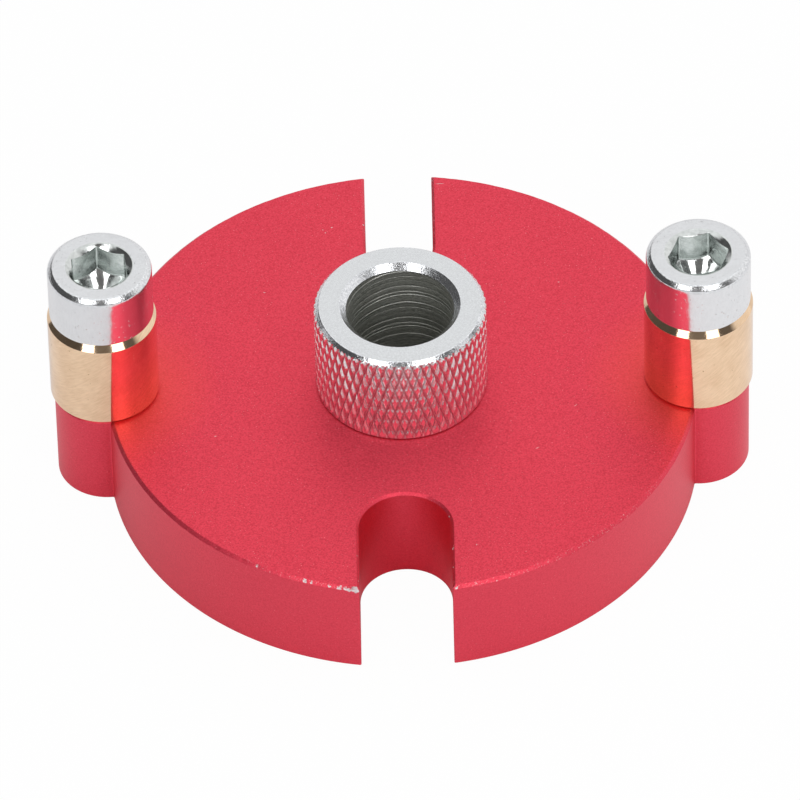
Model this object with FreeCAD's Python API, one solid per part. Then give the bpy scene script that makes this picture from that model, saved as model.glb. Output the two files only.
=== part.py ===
import FreeCAD, Part
import math
import os

# Self centering doweling jig, in millimetres.
# A round plate carries two roller posts at the same distance from a drill bush in its centre.
# Turned until both posts touch the faces of a board, the jig holds the bush midway between them.
# Frame: origin at the centre of the plate's underside, +X from the left post to the right post,
# +Z up through the bush, -Y towards the wide sight slot.

# Plate: a disc with one ear under each post
PLATE_RADIUS = 27.7
PLATE_THICKNESS = 10.3
PLATE_TOP_CHAMFER = 0.38
PLATE_BOTTOM_CHAMFER = 0.25
POST_OFFSET = 27.8
EAR_RADIUS = 4.75

# Sight slots, open at the rim; the inner end is the distance from the jig's axis
NEAR_SLOT_WIDTH = 8.6
NEAR_SLOT_INNER_END = 15.1
FAR_SLOT_WIDTH = 6.4
FAR_SLOT_INNER_END = 15.1
SLOT_CHAMFER = 0.25

# Drill bush: a knurled collar over a threaded stem, with the drill's bore through both
BUSH_BORE_RADIUS = 5.05
BUSH_BORE_CHAMFER = 0.6
COLLAR_RADIUS = 8.05
COLLAR_HEIGHT = 9.75
COLLAR_TOP_CHAMFER = 0.43
COLLAR_TOP_CHAMFER_HEIGHT = 0.5
COLLAR_BOTTOM_CHAMFER = 0.25
STEM_RADIUS = 7.0
STEM_PITCH = 1.0
STEM_THREAD_DEPTH = 0.55
STEM_RELIEF_LENGTH = 1.2
STEM_END_RECESS = 0.3

# Post screws: socket head cap screws, M6 x 20
HEAD_RADIUS = 4.88
HEAD_HEIGHT = 5.7
HEAD_TOP_BEVEL = 0.32
HEAD_BOTTOM_BEVEL = 0.12
SHANK_RADIUS = 2.98
SHANK_LENGTH = 20.0
SCREW_PITCH = 1.0
SCREW_THREAD_DEPTH = 0.55
SCREW_TIP_LENGTH = 0.5
SCREW_NECK_LENGTH = 1.0
SOCKET_ACROSS_FLATS = 5.0
SOCKET_DEPTH = 3.0
SOCKET_FLOOR_HALF_ANGLE = 60.0
SOCKET_MOUTH_RADIUS = 3.07
SOCKET_MOUTH_HALF_ANGLE = 50.0
LEFT_SOCKET_TURN = 36.0
RIGHT_SOCKET_TURN = 8.8

# Guide sleeves: plain brass rollers that turn on the screws
SLEEVE_RADIUS = 5.1
SLEEVE_LENGTH = 9.85
SLEEVE_TOP_CHAMFER = 0.5
SLEEVE_TOP_CHAMFER_HEIGHT = 0.6
SLEEVE_BOTTOM_CHAMFER = 0.25
SLEEVE_BORE_CHAMFER = 0.3

# Clearances: under a piece that sits on the plate, around a piece that turns or slides,
# around a fixed thread, and between a sleeve and the head above it
SEAT_GAP = 0.05
RUNNING_GAP = 0.05
THREAD_GAP = 0.06
SLEEVE_END_PLAY = 0.1

# Chamfer at the mouth of each hole in the plate, and how far a cutting tool runs past a face
HOLE_CHAMFER = 0.3
OVERCUT = 1.0

# Shares of the pitch at which a thread's flank leaves its root and reaches its crest
FLANK_FOOT = 0.0625
FLANK_TOP = 0.4375

SEAT_LEVEL = PLATE_THICKNESS + SEAT_GAP
COLLAR_TOP = SEAT_LEVEL + COLLAR_HEIGHT
STEM_ROOT_RADIUS = STEM_RADIUS - STEM_THREAD_DEPTH
STEM_RELIEF_BOTTOM = SEAT_LEVEL - STEM_RELIEF_LENGTH
BUSH_HOLE_RADIUS = STEM_RADIUS + RUNNING_GAP

SLEEVE_TOP = SEAT_LEVEL + SLEEVE_LENGTH
SLEEVE_BORE_RADIUS = SHANK_RADIUS + RUNNING_GAP

HEAD_BOTTOM = SLEEVE_TOP + SLEEVE_END_PLAY
HEAD_TOP = HEAD_BOTTOM + HEAD_HEIGHT
SCREW_TIP = HEAD_BOTTOM - SHANK_LENGTH
SCREW_ROOT_RADIUS = SHANK_RADIUS - SCREW_THREAD_DEPTH
SCREW_THREAD_START = SCREW_TIP + SCREW_TIP_LENGTH
SCREW_NECK_BOTTOM = HEAD_BOTTOM - SCREW_NECK_LENGTH


def revolved(outline):
    """A solid turned about the Z axis from an outline of (radius, height) corners."""
    corners = [FreeCAD.Vector(radius, 0, height) for radius, height in outline]
    corners.append(corners[0])
    face = Part.Face(Part.makePolygon(corners))
    return face.revolve(FreeCAD.Vector(0, 0, 0), FreeCAD.Vector(0, 0, 1), 360)


def placed(shape, offset_x=0.0, offset_y=0.0):
    """The shape moved sideways."""
    moved = shape.copy()
    moved.translate(FreeCAD.Vector(offset_x, offset_y, 0))
    return moved


def thread_outline(root_radius, crest_radius, start, end, pitch):
    """Corners of the whole thread ridges that fit between two heights, from the bottom up."""
    corners = []
    ridge_count = int((end - start) / pitch)
    for ridge in range(ridge_count):
        foot = start + ridge * pitch
        corners.append((root_radius, foot + FLANK_FOOT * pitch))
        corners.append((crest_radius, foot + FLANK_TOP * pitch))
        corners.append((crest_radius, foot + (1 - FLANK_TOP) * pitch))
        corners.append((root_radius, foot + (1 - FLANK_FOOT) * pitch))
    return corners


def chamfered_disc(radius):
    """A round slab of the plate's thickness with both edges chamfered."""
    return revolved([
        (0, 0),
        (radius - PLATE_BOTTOM_CHAMFER, 0),
        (radius, PLATE_BOTTOM_CHAMFER),
        (radius, PLATE_THICKNESS - PLATE_TOP_CHAMFER),
        (radius - PLATE_TOP_CHAMFER, PLATE_THICKNESS),
        (0, PLATE_THICKNESS),
    ])


def slot_tool(width, inner_end):
    """Cutter for a slot that opens towards +Y, wider at both faces by the slot's chamfer."""
    half = width / 2
    flared = half + SLOT_CHAMFER + OVERCUT
    side = [
        (flared, -OVERCUT),
        (half, SLOT_CHAMFER),
        (half, PLATE_THICKNESS - SLOT_CHAMFER),
        (flared, PLATE_THICKNESS + OVERCUT),
    ]
    centre_y = inner_end + half
    round_end = revolved([(0, -OVERCUT)] + side + [(0, PLATE_THICKNESS + OVERCUT)])
    section = side + [(-x, z) for x, z in reversed(side)]
    corners = [FreeCAD.Vector(x, centre_y, z) for x, z in section + section[:1]]
    straight_length = PLATE_RADIUS + OVERCUT - centre_y
    straight = Part.Face(Part.makePolygon(corners)).extrude(FreeCAD.Vector(0, straight_length, 0))
    return straight.fuse(placed(round_end, 0, centre_y))


def bush_hole_tool():
    """Cutter for the threaded hole that takes the drill bush, with its crests clear of the stem."""
    mouth = BUSH_HOLE_RADIUS + HOLE_CHAMFER
    thread = thread_outline(
        BUSH_HOLE_RADIUS,
        BUSH_HOLE_RADIUS + STEM_THREAD_DEPTH,
        HOLE_CHAMFER,
        STEM_RELIEF_BOTTOM,
        STEM_PITCH,
    )
    return revolved([
        (0, -OVERCUT),
        (mouth, -OVERCUT),
        (mouth, 0),
        (BUSH_HOLE_RADIUS, HOLE_CHAMFER),
        *thread,
        (BUSH_HOLE_RADIUS, PLATE_THICKNESS - HOLE_CHAMFER),
        (mouth, PLATE_THICKNESS),
        (mouth, PLATE_THICKNESS + OVERCUT),
        (0, PLATE_THICKNESS + OVERCUT),
    ])


def post_hole_tool():
    """Cutter for a tapped hole in an ear: the screw's own thread with a gap all round it."""
    root = SCREW_ROOT_RADIUS + THREAD_GAP
    crest = SHANK_RADIUS + THREAD_GAP
    ridges_below = max(0, math.ceil((HOLE_CHAMFER - SCREW_THREAD_START) / SCREW_PITCH))
    thread_start = SCREW_THREAD_START + ridges_below * SCREW_PITCH
    thread = thread_outline(
        root,
        crest,
        thread_start,
        PLATE_THICKNESS - HOLE_CHAMFER,
        SCREW_PITCH,
    )
    thread_end = thread[-1][1] + FLANK_FOOT * SCREW_PITCH
    return revolved([
        (0, -OVERCUT),
        (crest, -OVERCUT),
        (crest, thread_start - FLANK_TOP * SCREW_PITCH),
        (root, thread_start - FLANK_FOOT * SCREW_PITCH),
        *thread,
        (root, thread_end + FLANK_FOOT * SCREW_PITCH),
        (crest, thread_end + FLANK_TOP * SCREW_PITCH),
        (crest, PLATE_THICKNESS + OVERCUT),
        (0, PLATE_THICKNESS + OVERCUT),
    ])


def make_plate():
    """The disc with its two ears, two sight slots, bush hole and tapped post holes."""
    plate = chamfered_disc(PLATE_RADIUS)
    for side in (-1, 1):
        plate = plate.fuse(placed(chamfered_disc(EAR_RADIUS), side * POST_OFFSET))
    plate = plate.removeSplitter()
    far_slot = slot_tool(FAR_SLOT_WIDTH, FAR_SLOT_INNER_END)
    near_slot = slot_tool(NEAR_SLOT_WIDTH, NEAR_SLOT_INNER_END)
    near_slot.rotate(FreeCAD.Vector(0, 0, 0), FreeCAD.Vector(0, 0, 1), 180)
    plate = plate.cut(far_slot).cut(near_slot).cut(bush_hole_tool())
    for side in (-1, 1):
        plate = plate.cut(placed(post_hole_tool(), side * POST_OFFSET))
    return plate


def make_drill_bush():
    """The knurled collar's envelope, its threaded stem and the through bore."""
    thread = thread_outline(
        STEM_ROOT_RADIUS,
        STEM_RADIUS,
        STEM_END_RECESS,
        STEM_RELIEF_BOTTOM,
        STEM_PITCH,
    )
    return revolved([
        (BUSH_BORE_RADIUS + BUSH_BORE_CHAMFER, STEM_END_RECESS),
        (STEM_ROOT_RADIUS, STEM_END_RECESS),
        *thread,
        (STEM_ROOT_RADIUS, SEAT_LEVEL),
        (COLLAR_RADIUS - COLLAR_BOTTOM_CHAMFER, SEAT_LEVEL),
        (COLLAR_RADIUS, SEAT_LEVEL + COLLAR_BOTTOM_CHAMFER),
        (COLLAR_RADIUS, COLLAR_TOP - COLLAR_TOP_CHAMFER_HEIGHT),
        (COLLAR_RADIUS - COLLAR_TOP_CHAMFER, COLLAR_TOP),
        (BUSH_BORE_RADIUS + BUSH_BORE_CHAMFER, COLLAR_TOP),
        (BUSH_BORE_RADIUS, COLLAR_TOP - BUSH_BORE_CHAMFER),
        (BUSH_BORE_RADIUS, STEM_END_RECESS + BUSH_BORE_CHAMFER),
    ])


def socket_tool(turn):
    """Cutter for the hexagon socket: a punch with a conical nose, and a countersunk mouth."""
    tool_top = HEAD_TOP + OVERCUT
    corner_radius = SOCKET_ACROSS_FLATS / math.sqrt(3)
    floor_slope = math.tan(math.radians(SOCKET_FLOOR_HALF_ANGLE))
    corners = []
    for corner in range(7):
        angle = math.radians(turn + 60 * corner)
        x = corner_radius * math.cos(angle)
        y = corner_radius * math.sin(angle)
        corners.append(FreeCAD.Vector(x, y, HEAD_BOTTOM))
    prism_height = FreeCAD.Vector(0, 0, tool_top - HEAD_BOTTOM)
    prism = Part.Face(Part.makePolygon(corners)).extrude(prism_height)
    nose_radius = corner_radius + OVERCUT
    nose_tip = HEAD_TOP - SOCKET_DEPTH - corner_radius / floor_slope
    nose = revolved([
        (0, nose_tip),
        (nose_radius, nose_tip + nose_radius / floor_slope),
        (nose_radius, tool_top),
        (0, tool_top),
    ])
    mouth_depth = SOCKET_MOUTH_RADIUS / math.tan(math.radians(SOCKET_MOUTH_HALF_ANGLE))
    mouth = revolved([
        (0, HEAD_TOP - mouth_depth),
        (SOCKET_MOUTH_RADIUS, HEAD_TOP),
        (SOCKET_MOUTH_RADIUS, tool_top),
        (0, tool_top),
    ])
    return prism.common(nose).fuse(mouth)


def make_post_screw(turn):
    """A cap screw on the Z axis, its socket turned by the given angle."""
    thread = thread_outline(
        SCREW_ROOT_RADIUS,
        SHANK_RADIUS,
        SCREW_THREAD_START,
        SCREW_NECK_BOTTOM,
        SCREW_PITCH,
    )
    blank = revolved([
        (0, SCREW_TIP),
        (SCREW_ROOT_RADIUS, SCREW_TIP),
        *thread,
        (SCREW_ROOT_RADIUS, SCREW_NECK_BOTTOM),
        (SHANK_RADIUS, SCREW_NECK_BOTTOM + SCREW_THREAD_DEPTH),
        (SHANK_RADIUS, HEAD_BOTTOM),
        (HEAD_RADIUS - HEAD_BOTTOM_BEVEL, HEAD_BOTTOM),
        (HEAD_RADIUS, HEAD_BOTTOM + HEAD_BOTTOM_BEVEL),
        (HEAD_RADIUS, HEAD_TOP - HEAD_TOP_BEVEL),
        (HEAD_RADIUS - HEAD_TOP_BEVEL, HEAD_TOP),
        (0, HEAD_TOP),
    ])
    return blank.cut(socket_tool(turn))


def make_guide_sleeve():
    """A turned brass tube on the Z axis, chamfered at each end of its outside and its bore."""
    return revolved([
        (SLEEVE_BORE_RADIUS + SLEEVE_BORE_CHAMFER, SEAT_LEVEL),
        (SLEEVE_RADIUS - SLEEVE_BOTTOM_CHAMFER, SEAT_LEVEL),
        (SLEEVE_RADIUS, SEAT_LEVEL + SLEEVE_BOTTOM_CHAMFER),
        (SLEEVE_RADIUS, SLEEVE_TOP - SLEEVE_TOP_CHAMFER_HEIGHT),
        (SLEEVE_RADIUS - SLEEVE_TOP_CHAMFER, SLEEVE_TOP),
        (SLEEVE_BORE_RADIUS + SLEEVE_BORE_CHAMFER, SLEEVE_TOP),
        (SLEEVE_BORE_RADIUS, SLEEVE_TOP - SLEEVE_BORE_CHAMFER),
        (SLEEVE_BORE_RADIUS, SEAT_LEVEL + SLEEVE_BORE_CHAMFER),
    ])


pieces = {
    "jig_plate": make_plate(),
    "drill_bush": make_drill_bush(),
}
for name, offset_x, turn in (
    ("left", -POST_OFFSET, LEFT_SOCKET_TURN),
    ("right", POST_OFFSET, RIGHT_SOCKET_TURN),
):
    pieces[name + "_post_screw"] = placed(make_post_screw(turn), offset_x)
    pieces[name + "_guide_sleeve"] = placed(make_guide_sleeve(), offset_x)

os.makedirs("parts", exist_ok=True)
for node, shape in pieces.items():
    shape.exportStep("parts/" + node + ".step")
    print(node, len(shape.Solids), round(shape.Volume, 2), shape.isValid())
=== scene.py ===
import math

import bmesh
import bpy
import numpy as np
from mathutils import Matrix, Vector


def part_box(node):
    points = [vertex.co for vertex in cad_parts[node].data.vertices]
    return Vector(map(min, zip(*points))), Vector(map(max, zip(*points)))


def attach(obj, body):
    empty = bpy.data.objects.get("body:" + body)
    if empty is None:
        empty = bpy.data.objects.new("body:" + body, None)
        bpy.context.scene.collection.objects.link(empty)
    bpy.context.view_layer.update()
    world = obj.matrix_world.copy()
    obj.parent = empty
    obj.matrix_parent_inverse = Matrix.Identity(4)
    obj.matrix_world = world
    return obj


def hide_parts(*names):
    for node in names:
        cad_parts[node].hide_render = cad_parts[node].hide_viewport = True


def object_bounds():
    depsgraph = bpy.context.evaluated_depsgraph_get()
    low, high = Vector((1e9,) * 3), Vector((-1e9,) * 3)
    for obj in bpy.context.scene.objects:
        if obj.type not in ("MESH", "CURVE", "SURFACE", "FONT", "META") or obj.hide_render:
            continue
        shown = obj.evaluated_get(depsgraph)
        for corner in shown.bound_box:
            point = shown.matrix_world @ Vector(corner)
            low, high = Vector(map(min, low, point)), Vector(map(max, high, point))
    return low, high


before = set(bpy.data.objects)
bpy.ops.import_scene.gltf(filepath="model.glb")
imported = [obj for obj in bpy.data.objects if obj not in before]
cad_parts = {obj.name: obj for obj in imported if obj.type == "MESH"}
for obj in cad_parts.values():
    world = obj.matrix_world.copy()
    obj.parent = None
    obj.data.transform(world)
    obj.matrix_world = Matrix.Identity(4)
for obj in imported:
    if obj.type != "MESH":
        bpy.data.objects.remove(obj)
cad_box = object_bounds()

# Sizes are in millimetres and become metres in Shell.build. What the frame can give is read from
# it; the rest are the widths, depths and pitches of features within a piece.
MM = 0.001


def span(node):
    """Lowest and highest corner of a CAD node, in millimetres."""
    low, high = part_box(node)
    return np.array(low) / MM, np.array(high) / MM


plate_low, plate_high = span("jig_plate")
bush_low, bush_high = span("drill_bush")
sleeve_low, sleeve_high = span("right_guide_sleeve")
screw_low, screw_high = span("right_post_screw")

POST_OFFSET = (sleeve_low[0] + sleeve_high[0]) / 2

PLATE_RADIUS = 27.7
PLATE_TOP = plate_high[2]
PLATE_BOTTOM = plate_low[2]
PLATE_TOP_CHAMFER = 0.31
PLATE_BOTTOM_CHAMFER = 0.25
EAR_RADIUS = plate_high[0] - POST_OFFSET
NEAR_SLOT = {"half_width": 4.3, "centre": 19.4}
FAR_SLOT = {"half_width": 3.2, "centre": 17.9}
SLOT_CHAMFER = 0.25
SLOT_CORNER = 0.12
EAR_CORNER = 0.15
EDGE_EASE = 0.06
RIM_POINTS = 300
FAR_RIM_POINTS = 200
EAR_POINTS = 110
SLOT_ARC_POINTS = 50
SLOT_SIDE_POINTS = 70
# How worn the plate's edges are, how worn the rim's front is, and a chip's floor. The more wear,
# the more bare metal shows. The extra wear along the rim's front is partly a painted highlight.
EDGE_WEAR = 0.24
FRONT_WEAR_AND_HIGHLIGHT = 0.33
CHIP_WEAR = 0.64
EDGE_WAVE = 0.016
# How far from the edge's chamfer the extra rings lie that carry the chips
EDGE_STEPS = (0.15, 0.30, 0.45, 0.60)

# Chips in the plate's top edge: place, reach and depth
CHIPS = (
    (-4.65, -27.25, 0.42, 0.24), (-5.15, -27.20, 0.34, 0.15), (-5.65, -27.05, 0.24, 0.08),
    (-6.15, -26.90, 0.26, 0.08), (4.65, -27.25, 0.22, 0.08), (4.42, -24.6, 0.13, 0.04),
    (4.42, -22.2, 0.16, 0.06), (4.42, -21.9, 0.12, 0.04), (4.10, -18.0, 0.14, 0.05),
    (-4.42, -22.9, 0.13, 0.04), (-4.42, -26.1, 0.14, 0.05), (-7.0, -26.65, 0.18, 0.03),
    (-8.7, -26.15, 0.20, 0.04), (-9.3, -25.95, 0.22, 0.03), (6.4, -26.80, 0.14, 0.03),
    (-13.7, -23.85, 0.16, 0.04), (3.3, 26.95, 0.18, 0.06), (3.32, 24.9, 0.13, 0.04),
    (3.32, 21.4, 0.13, 0.04), (3.32, 20.2, 0.11, 0.03), (-3.32, 21.0, 0.13, 0.04),
    (-3.32, 20.3, 0.10, 0.03),
)

BUSH_RADIUS = bush_high[0]
BUSH_TOP = bush_high[2]
BUSH_BOTTOM = bush_low[2]
BUSH_SEAT = PLATE_TOP + 0.05
BORE_RADIUS = 5.05
BORE_CHAMFER = 0.6
BORE_CHAMFER_HEIGHT = 0.56
BORE_SEAM_DEPTH = 6.0
COLLAR_TOP_CHAMFER = 0.43
COLLAR_TOP_CHAMFER_HEIGHT = 0.5
COLLAR_BOTTOM_CHAMFER = 0.10
COLLAR_CHAMFER_ROWS = 12
COLLAR_FOOT_ROWS = 6
STEM_RADIUS = 7.0
STEM_RELIEF_BOTTOM = BUSH_SEAT - 1.2
BUSH_THREAD_DEPTH = 0.55
BUSH_HOLE_RADIUS = 7.05
BUSH_COLUMNS = 144

# Threads: the pitch, the rings in one pitch, the fewer where a screw hides them, the bevel at the
# tip, how far above it the thread starts, the height over which it fades, and its profile's parts
THREAD_PITCH = 1.0
THREAD_ROWS = 16
HIDDEN_THREAD_ROWS = 8
THREAD_TAPER = 0.2
THREAD_START = 0.25
THREAD_FADE = 0.35
THREAD_HALF_FOOT = 0.4375
THREAD_FLANK = 0.375

# Diamond knurl: flat-topped diamonds between grooves of both hands. The wall is the part of a
# groove's spacing that one of its walls takes. The peak is the middle of one diamond's top.
KNURL_STARTS = 58
KNURL_AXIAL_PERIOD = 2.8
KNURL_DEPTH = 0.24
KNURL_DEPTH_SPREAD = 0.04
KNURL_WALL = 0.25
KNURL_ROUNDING = 6
KNURL_FOOT = 0.9
KNURL_FOOT_DEPTH = 0.25
KNURL_END = 19.98
KNURL_FADE = 0.30
KNURL_PEAK_TURN = -29.6
KNURL_PEAK_HEIGHT = 17.8
KNURL_STEPS = 6

SCREW_TOP = screw_high[2]
SCREW_TIP = screw_low[2]
HEAD_RADIUS = (screw_high[0] - screw_low[0]) / 2
HEAD_BOTTOM = sleeve_high[2] + 0.1
# The edge between a head's wall and its top face, as (inset, depth below the top)
HEAD_SHOULDER = (
    (0, 0.72), (0.010, 0.58), (0.028, 0.48), (0.055, 0.41), (0.09, 0.36),
    (0.33, 0.11), (0.37, 0.07), (0.41, 0.04), (0.46, 0.012), (0.52, 0),
)
HEAD_BOTTOM_BEVEL = 0.12
SHANK_RADIUS = 2.98
SHANK_ROOT = 2.43
SHANK_NECK = 1.0
SCREW_COLUMNS = 180
SCREW_THREAD_RINGS = 290
SOCKET_FLAT = 2.5
SOCKET_DEPTH = 3.0
SOCKET_CORNER_ROUNDING = 0.22
SOCKET_FLOOR_HALF_ANGLE = 46.0
SOCKET_NOSE_RADIUS = 1.2
SOCKET_NOSE_HALF_ANGLE = 70.0
SOCKET_NOSE_RINGS = (0.8, 0.4, 0.15)
SOCKET_FLUTE = 0.02
SOCKET_MOUTH_RADIUS = 3.07
SOCKET_MOUTH_HALF_ANGLE = {"left": 50.0, "right": 60.0}
SOCKET_TURNS = {"left": 36.0, "right": 8.8}

SLEEVE_RADIUS = (sleeve_high[0] - sleeve_low[0]) / 2
SLEEVE_TOP = sleeve_high[2]
SLEEVE_BOTTOM = sleeve_low[2]
SLEEVE_TOP_CHAMFER = 0.5
SLEEVE_TOP_CHAMFER_HEIGHT = 0.6
SLEEVE_BOTTOM_CHAMFER = 0.25
SLEEVE_BORE = 3.03
SLEEVE_BORE_CHAMFER = 0.3
SLEEVE_SEAM = (15.0, 15.1)
SLEEVE_COLUMNS = 192

HOLE_CHAMFER = 0.3
HOLE_LIP = 0.05
POST_HOLE_GAP = 0.06
POST_HOLE_FADE = 0.4
POST_HOLE_COLUMNS = 72

# The order of the materials on the bush and on a screw
KNURL, TURNED, BORE, BEVEL = range(4)
PLATED, SOCKET, SHOULDER, HEXAGON = range(4)


# ---- mesh building

def new_object(name, data):
    made = bpy.data.objects.new(name, data)
    bpy.context.scene.collection.objects.link(made)
    return made


class Shell:
    """One mesh, gathered from rings of points."""

    def __init__(self, columns=0, centre_x=0.0):
        self.points, self.wear = [], []
        self.faces, self.marks = [], []
        self.flats = []
        self.lathe(columns, centre_x)

    def lathe(self, columns, centre_x=0.0):
        """Sets how many points the next turned rings have, and the axis they go round."""
        self.columns, self.centre_x = columns, centre_x

    def ring(self, coordinates, wear=0.0):
        """Adds a closed ring of points and returns their indices. Each point's wear says how worn
        it is, and on the knurl how far it is from its groove."""
        start = len(self.points)
        self.points.extend(map(tuple, coordinates))
        self.wear.extend(np.broadcast_to(wear, len(coordinates)))
        return list(range(start, len(self.points)))

    def rings(self, radii, heights, turn=0.0, wear=0.0):
        """A ring round the axis for each radius and height."""
        wear = np.broadcast_to(wear, (len(heights), self.columns))
        return [
            self.ring(circle(radius, height, self.columns, self.centre_x, turn), worn)
            for radius, height, worn in zip(radii, heights, wear)
        ]

    def band(self, below, above, mark=0, falling=None):
        """Joins two rings of the same length. falling says which quads are cut along the other
        diagonal."""
        count = len(below)
        for column in range(count):
            after = (column + 1) % count
            a, b, c, d = below[column], below[after], above[after], above[column]
            if falling is None:
                self.add(mark, (a, b, c, d))
            elif falling[column]:
                self.add(mark, (a, b, d), (b, c, d))
            else:
                self.add(mark, (a, b, c), (a, c, d))

    def add(self, mark, *faces):
        self.faces.extend(faces)
        self.marks.extend([mark] * len(faces))

    def strip(self, rings, mark=0):
        """Joins each ring to the next and returns the first and the last."""
        for below, above in zip(rings, rings[1:]):
            self.band(below, above, mark)
        return rings[0], rings[-1]

    def turned(self, profile, mark=0):
        """Rings for a profile of (radius, height) points. Returns the first and last ring."""
        return self.strip(self.rings(*zip(*profile)), mark)

    def threaded(self, root, crest, heights, mark=0):
        """A helical thread with a ring at each height. Returns the first and last ring."""
        share = thread_share(self.columns, heights, heights[0], heights[-1])
        return self.strip(self.rings(root + (crest - root) * share, heights), mark)

    def thread_tip(self, root, low, mark=0):
        """The bevel below a thread. Returns the first and last ring."""
        return self.turned([
            (root - THREAD_START, low), (root - THREAD_TAPER, low), (root, low + THREAD_TAPER),
        ], mark)

    def flat(self, loops, mark=0):
        """A flat face between an outer ring and the rings inside it."""
        self.flats.append((loops, mark))

    def point(self, ring, height, mark=0):
        """Closes a ring on a point of the axis."""
        centre = len(self.points)
        self.points.append((self.centre_x, 0, height))
        self.wear.append(0.0)
        for first, second in zip(ring, ring[1:] + ring[:1]):
            self.add(mark, (first, second, centre))

    def build(self, name, body, node, materials, sharp=34.0):
        """Makes the object, which takes the CAD node's place and rides on its body."""
        mesh = bpy.data.meshes.new(name)
        points = [tuple(value * MM for value in point) for point in self.points]
        mesh.from_pydata(points, [], self.faces)
        mesh.polygons.foreach_set("material_index", self.marks)
        shape = bmesh.new()
        shape.from_mesh(mesh)
        shape.verts.ensure_lookup_table()
        for loops, mark in self.flats:
            edges = []
            for loop in loops:
                for first, second in zip(loop, loop[1:] + loop[:1]):
                    ends = (shape.verts[first], shape.verts[second])
                    edges.append(shape.edges.get(ends) or shape.edges.new(ends))
            filled = bmesh.ops.triangle_fill(shape, use_beauty=True, edges=edges)
            for item in filled["geom"]:
                if isinstance(item, bmesh.types.BMFace):
                    item.material_index = mark
        bmesh.ops.recalc_face_normals(shape, faces=shape.faces)
        shape.to_mesh(mesh)
        shape.free()
        mesh.attributes.new("edge_wear", "FLOAT", "POINT").data.foreach_set("value", self.wear)
        for material in materials:
            mesh.materials.append(material)
        mesh.polygons.foreach_set("use_smooth", [True] * len(mesh.polygons))
        mesh.set_sharp_from_angle(angle=math.radians(sharp))
        mesh.update()
        made = new_object(name, mesh)
        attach(made, body)
        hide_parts(node)


def eased(corners, radius=EDGE_EASE, steps=3, support=0.05):
    """A profile with each inner corner rounded, and a point kept just beside each rounding."""
    result = [corners[0]]
    for before, corner, after in zip(corners, corners[1:], corners[2:]):
        before, corner, after = (np.array(point, float) for point in (before, corner, after))
        into, out = before - corner, after - corner
        into_length, out_length = np.linalg.norm(into), np.linalg.norm(out)
        into, out = into / into_length, out / out_length
        half_angle = math.acos(np.clip(into @ out, -1, 1)) / 2
        if half_angle > math.radians(80):
            result.append(tuple(corner))
            continue
        reach = min(radius / math.tan(half_angle), 0.4 * into_length, 0.4 * out_length)
        round_radius = reach * math.tan(half_angle)
        middle = into + out
        centre = corner + middle / np.linalg.norm(middle) * (round_radius / math.sin(half_angle))
        start = corner + into * reach - centre
        turn = math.pi - 2 * half_angle
        side = math.copysign(1, start[0] * out[1] - start[1] * out[0])
        if into_length > 4 * (reach + support):
            result.append(tuple(corner + into * (reach + support)))
        for step in range(steps + 1):
            angle = side * turn * step / steps
            cosine, sine = math.cos(angle), math.sin(angle)
            result.append((
                centre[0] + start[0] * cosine - start[1] * sine,
                centre[1] + start[0] * sine + start[1] * cosine,
            ))
        if out_length > 4 * (reach + support):
            result.append(tuple(corner + out * (reach + support)))
    result.append(corners[-1])
    return result


def circle(radius, height, columns, centre_x, turn):
    """Points round a vertical axis, counted from the near side towards +X. The radius and height
    may each be one number or one for every column."""
    angle = math.radians(turn) + np.arange(columns) * 2 * math.pi / columns
    x = centre_x + radius * np.sin(angle)
    y = -radius * np.cos(angle)
    return np.stack([x, y, np.broadcast_to(height, x.shape)], axis=1)


def thread_share(columns, heights, start, end):
    """How far out of its root a right-hand thread stands, from 0 to 1, for each height and column.
    It runs out at both ends."""
    turn = np.arange(columns) / columns
    phase = (heights[:, None] / THREAD_PITCH - turn[None, :]) % 1.0
    share = np.clip((THREAD_HALF_FOOT - np.abs(phase - 0.5)) / THREAD_FLANK, 0, 1)
    runout = np.clip(np.minimum(heights - start, end - heights) / THREAD_FADE, 0, 1)
    return share * runout[:, None]


def thread_heights(start, end, rows_in_pitch):
    return np.linspace(start, end, int(round((end - start) / THREAD_PITCH * rows_in_pitch)) + 1)


# ---- plate

def arc(centre, radius, first, last, count):
    """Points on an arc from one bearing to another, in degrees."""
    angles = np.radians(np.linspace(first, last, count))
    return np.stack([centre[0] + radius * np.cos(angles), centre[1] + radius * np.sin(angles)], 1)


def bearing(vector):
    return math.degrees(math.atan2(vector[1], vector[0]))


def slot_side(slot, rim, side, inset):
    """From a slot's inner end to the rim's arc, on the +X side. side is -1 for the near slot and 1
    for the far one. Returns the points and the bearing at which the rim's arc begins."""
    half = slot["half_width"] + inset
    ease = SLOT_CORNER
    bottom = arc((0, slot["centre"]), half, -90, 0, SLOT_ARC_POINTS)
    corner_x = half + ease
    corner_y = math.sqrt((rim - ease) ** 2 - corner_x ** 2)
    straight_y = np.linspace(slot["centre"], corner_y, SLOT_SIDE_POINTS)[1:-1]
    straight = np.stack([np.full_like(straight_y, half), straight_y], 1)
    rim_bearing = bearing((corner_x, corner_y))
    corner = arc((corner_x, corner_y), ease, 180, rim_bearing, 6)
    points = np.concatenate([bottom, straight, corner])
    points[:, 1] *= side
    return points, side * rim_bearing


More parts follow.
